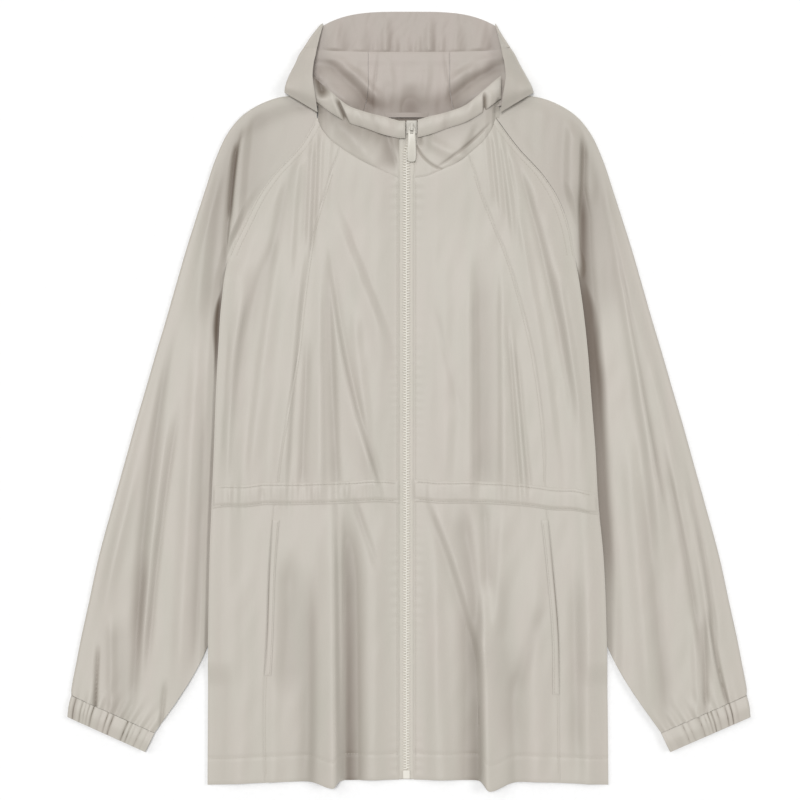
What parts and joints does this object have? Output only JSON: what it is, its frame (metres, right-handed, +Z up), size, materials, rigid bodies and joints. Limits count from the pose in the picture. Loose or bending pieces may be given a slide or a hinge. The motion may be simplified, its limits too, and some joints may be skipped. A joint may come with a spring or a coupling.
{
  "type": "hooded jacket",
  "caption": "Thin hooded windbreaker jacket, zipped up and laid flat on its back, with raglan sleeves, gathered cuffs, waist casing and seam pockets; the zip's pull tab turns.",
  "frame": {"origin": "centre of the bounding box in X and Y, on the flat surface that the back lies on", "axes": "+Y from the hem towards the hood, +X towards the viewer's right when looking down on the front, +Z up out of the zipped front"},
  "size_m": [0.7849, 0.8944, 0.0261],
  "materials": {
    "shell_cloth": "matt woven nylon, pale stone",
    "inner_cloth": "inner face of the nylon, pale stone with a pink cast",
    "zip_tape": "woven tape, pale stone",
    "zip_teeth": "moulded, satin, pale stone",
    "zip_metal": "coated, satin, pale stone"
  },
  "bodies": {
    "jacket": {"back_panel": "shell_cloth", "front_left_center": "shell_cloth", "front_left_side": "shell_cloth", "front_right_center": "shell_cloth", "front_right_side": "shell_cloth", "waist_casing_left": "shell_cloth", "waist_casing_right": "shell_cloth", "pocket_welt_left": "shell_cloth", "pocket_welt_right": "shell_cloth", "sleeve_left": "shell_cloth", "sleeve_right": "shell_cloth", "cuff_left": "shell_cloth", "cuff_right": "shell_cloth", "collar_left": "shell_cloth", "collar_right": "shell_cloth", "hood_side_left": "shell_cloth", "hood_side_right": "shell_cloth", "hood_front_left": "shell_cloth", "hood_front_right": "shell_cloth", "hood_nape": "inner_cloth", "hood_brim": "inner_cloth", "hanger_loop": "inner_cloth", "zip_tape_left": "zip_tape", "zip_tape_right": "zip_tape", "zip_chain": "zip_teeth", "zip_box": "zip_teeth", "zip_slider": "zip_metal"},
    "zip_pull": {"zip_pull": "zip_metal"}
  },
  "joints": [
    {"name": "pull_tab_hinge", "type": "hinge", "parent": "jacket", "child": "zip_pull", "pos_m": [0.003, 0.314, 0.0116], "axis": [-1, 0, 0], "range_deg": [0, 170]}
  ]
}
